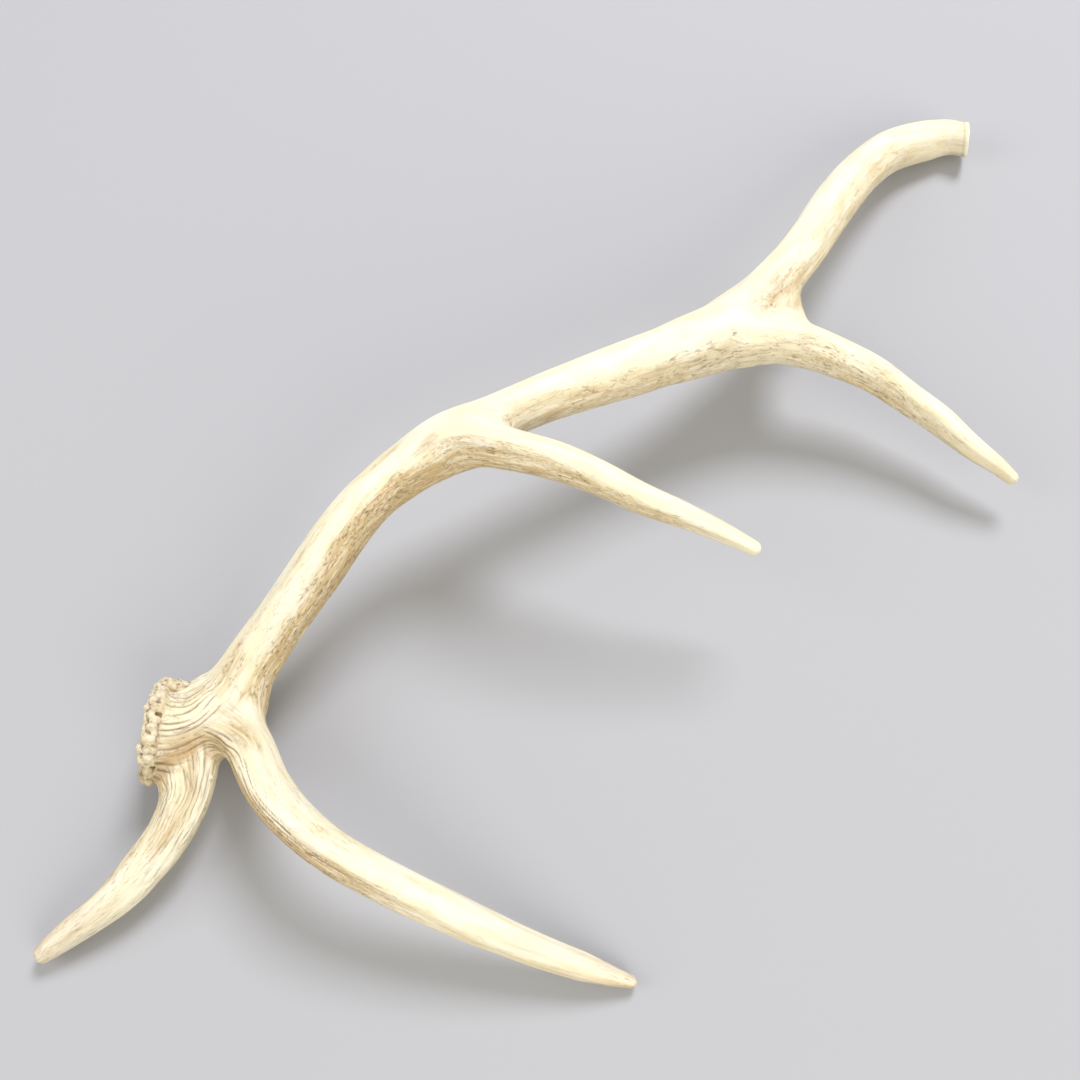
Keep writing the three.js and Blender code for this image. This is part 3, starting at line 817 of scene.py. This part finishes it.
# Where each tine's own piece begins, in mm along it, and which piece holds its root.
TINE_PARTS = ((60, 0), (88, 0), (108, 1), (128, 2))
located = [limb.locate(points[faces].mean(1)) for limb in grown]
owner = np.stack([found[0] for found in located], 1).argmin(1)
piece_of = np.searchsorted(BEAM_PARTS, located[0][1])
for number, (parting, root) in enumerate(TINE_PARTS, start=1):
    mine = owner == number
    piece_of[mine] = np.where(located[number][1][mine] > parting,
                              len(BEAM_PARTS) + number, root)


def border(quads):
    """Edges that only one quad of a piece uses, in that quad's direction."""
    edges = np.stack([quads, np.roll(quads, -1, 1)], -1).reshape(-1, 2)
    key = edges.min(1).astype(np.int64) << 32 | edges.max(1)
    _, where, count = np.unique(key, return_index=True, return_counts=True)
    return edges[where[count == 1]]


def lids(quads):
    """A fan of triangles over each open end of a piece, and the fans' middle points."""
    rim, fans, middles = border(quads), [], []
    while len(rim):
        ring, grow = np.zeros(len(points), bool), True
        ring[rim[0]] = True
        while grow:
            touched = ring[rim].any(1)
            grow = not ring[rim[touched]].all()
            ring[rim[touched]] = True
        loop, rim = rim[touched], rim[~touched]
        fans.append(np.stack([loop[:, 1], loop[:, 0],
                              np.full(len(loop), len(points) + len(middles))], 1))
        middles.append(points[loop[:, 0]].mean(0))
    return np.vstack(fans), middles


# The dirt and grey fields also carry painted shade.
FIELDS = {"stain": stain, "flecked": flecked, "coarse": coarse, "dirt_and_painted_shade": dirt_and_painted_shade, "grey_and_painted_shade": grey_and_painted_shade,
          "polish": polish, "grain_mix": grain_mix, "core": 0 * stain}
for number, name in enumerate(NAMES):
    quads = faces[piece_of == number]
    fans, middles = lids(quads)
    whole = np.vstack([points, middles])
    used = np.unique(np.concatenate([quads.ravel(), fans.ravel()]))
    renumber = np.zeros(len(whole), int)
    renumber[used] = np.arange(len(used))
    placed = (whole[used] - shift) * 0.001
    mesh = mesh_from(name, placed, [renumber[quads], renumber[fans]])
    # The lids' middle points come last. They take 1 in every field.
    kept = used[used < len(points)]
    for label, values in FIELDS.items():
        data = np.ones(len(used), np.float32)
        data[:len(kept)] = values[kept]
        mesh.attributes.new(label, "FLOAT", "POINT").data.foreach_set("value", data)
    for label, values in (("grain_a", grain_a), ("grain_b", grain_b)):
        data = np.zeros((len(used), 3), np.float32)
        data[:len(kept)] = values[kept]
        made = mesh.attributes.new(label, "FLOAT_VECTOR", "POINT")
        made.data.foreach_set("vector", data.ravel())
    # Normals of the whole skin, so that no seam shows, and flat ones on the lids.
    corner = np.zeros(len(mesh.loops), np.int32)
    mesh.loops.foreach_get("vertex_index", corner)
    direction = np.zeros((len(used), 3))
    direction[:len(kept)] = normals[kept]
    direction = direction[corner]
    flat = np.empty(len(mesh.polygons) * 3, np.float32)
    mesh.polygons.foreach_get("normal", flat)
    direction[4 * len(quads):] = np.repeat(flat.reshape(-1, 3)[len(quads):], 3, axis=0)
    mesh.normals_split_custom_set(direction)
    mesh.materials.append(burr_bone if name == "burr_base" else bone)
    if name == "sawn_branch":
        mesh.materials.append(cut_face)
        surface = np.zeros(len(mesh.polygons), np.int32)
        surface[len(quads):] = 1
        mesh.polygons.foreach_set("material_index", surface)
    piece = bpy.data.objects.new(name + "_skin", mesh)
    bpy.context.scene.collection.objects.link(piece)
    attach(piece, "root")
    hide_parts(name)

# ---- Floor and light ----------------------------------------------------------
# A plain pale floor, 12 m across, in soft warm light. In the camera's view the key lamp
# shines from above, the fill from the lower right and the side lamp from the left.
FLOOR = np.array([[-6, -6, 0], [6, -6, 0], [6, 6, 0], [-6, 6, 0]])      # in metres
floor_mesh = mesh_from("floor", FLOOR, [np.array([[0, 1, 2, 3]])], smooth=False)
floor = bpy.data.objects.new("floor", floor_mesh)
pale = bpy.data.materials.new("pale_floor")
pale.use_nodes = True
pale_shader = pale.node_tree.nodes["Principled BSDF"]
pale_shader.inputs["Base Color"].default_value = (0.43, 0.435, 0.445, 1)
pale_shader.inputs["Roughness"].default_value = 0.9
floor_mesh.materials.append(pale)
bpy.context.scene.collection.objects.link(floor)

world = bpy.data.worlds.new("studio")
bpy.context.scene.world = world
world.use_nodes = True
sky = world.node_tree.nodes["Background"]
sky.inputs["Color"].default_value = (1.0, 0.975, 0.93, 1)
sky.inputs["Strength"].default_value = 0.52

# Each lamp's name, direction from the origin, distance and width in metres, watts, tint.
LAMPS = (("key", (0.51, 0.256, 0.777), 5.0, 2.0, 184.0, (1.0, 1.0, 1.1)),
         ("fill", (-0.10, -0.86, 0.50), 4.0, 3.0, 86.0, (1.0, 0.97, 0.91)),
         ("side", (-0.72, 0.40, 0.55), 4.0, 3.0, 52.0, (1.0, 0.99, 1.0)))
for name, way, distance, size, power, tint in LAMPS:
    light = bpy.data.lights.new(name, "AREA")
    light.color = tint
    light.shape, light.size, light.energy = "DISK", size, power
    lamp = bpy.data.objects.new(name, light)
    way = Vector(way).normalized()
    lamp.location = way * distance
    lamp.rotation_mode = "QUATERNION"
    lamp.rotation_quaternion = way.to_track_quat("Z", "Y")
    bpy.context.scene.collection.objects.link(lamp)

bpy.context.scene.view_settings.view_transform = "Standard"
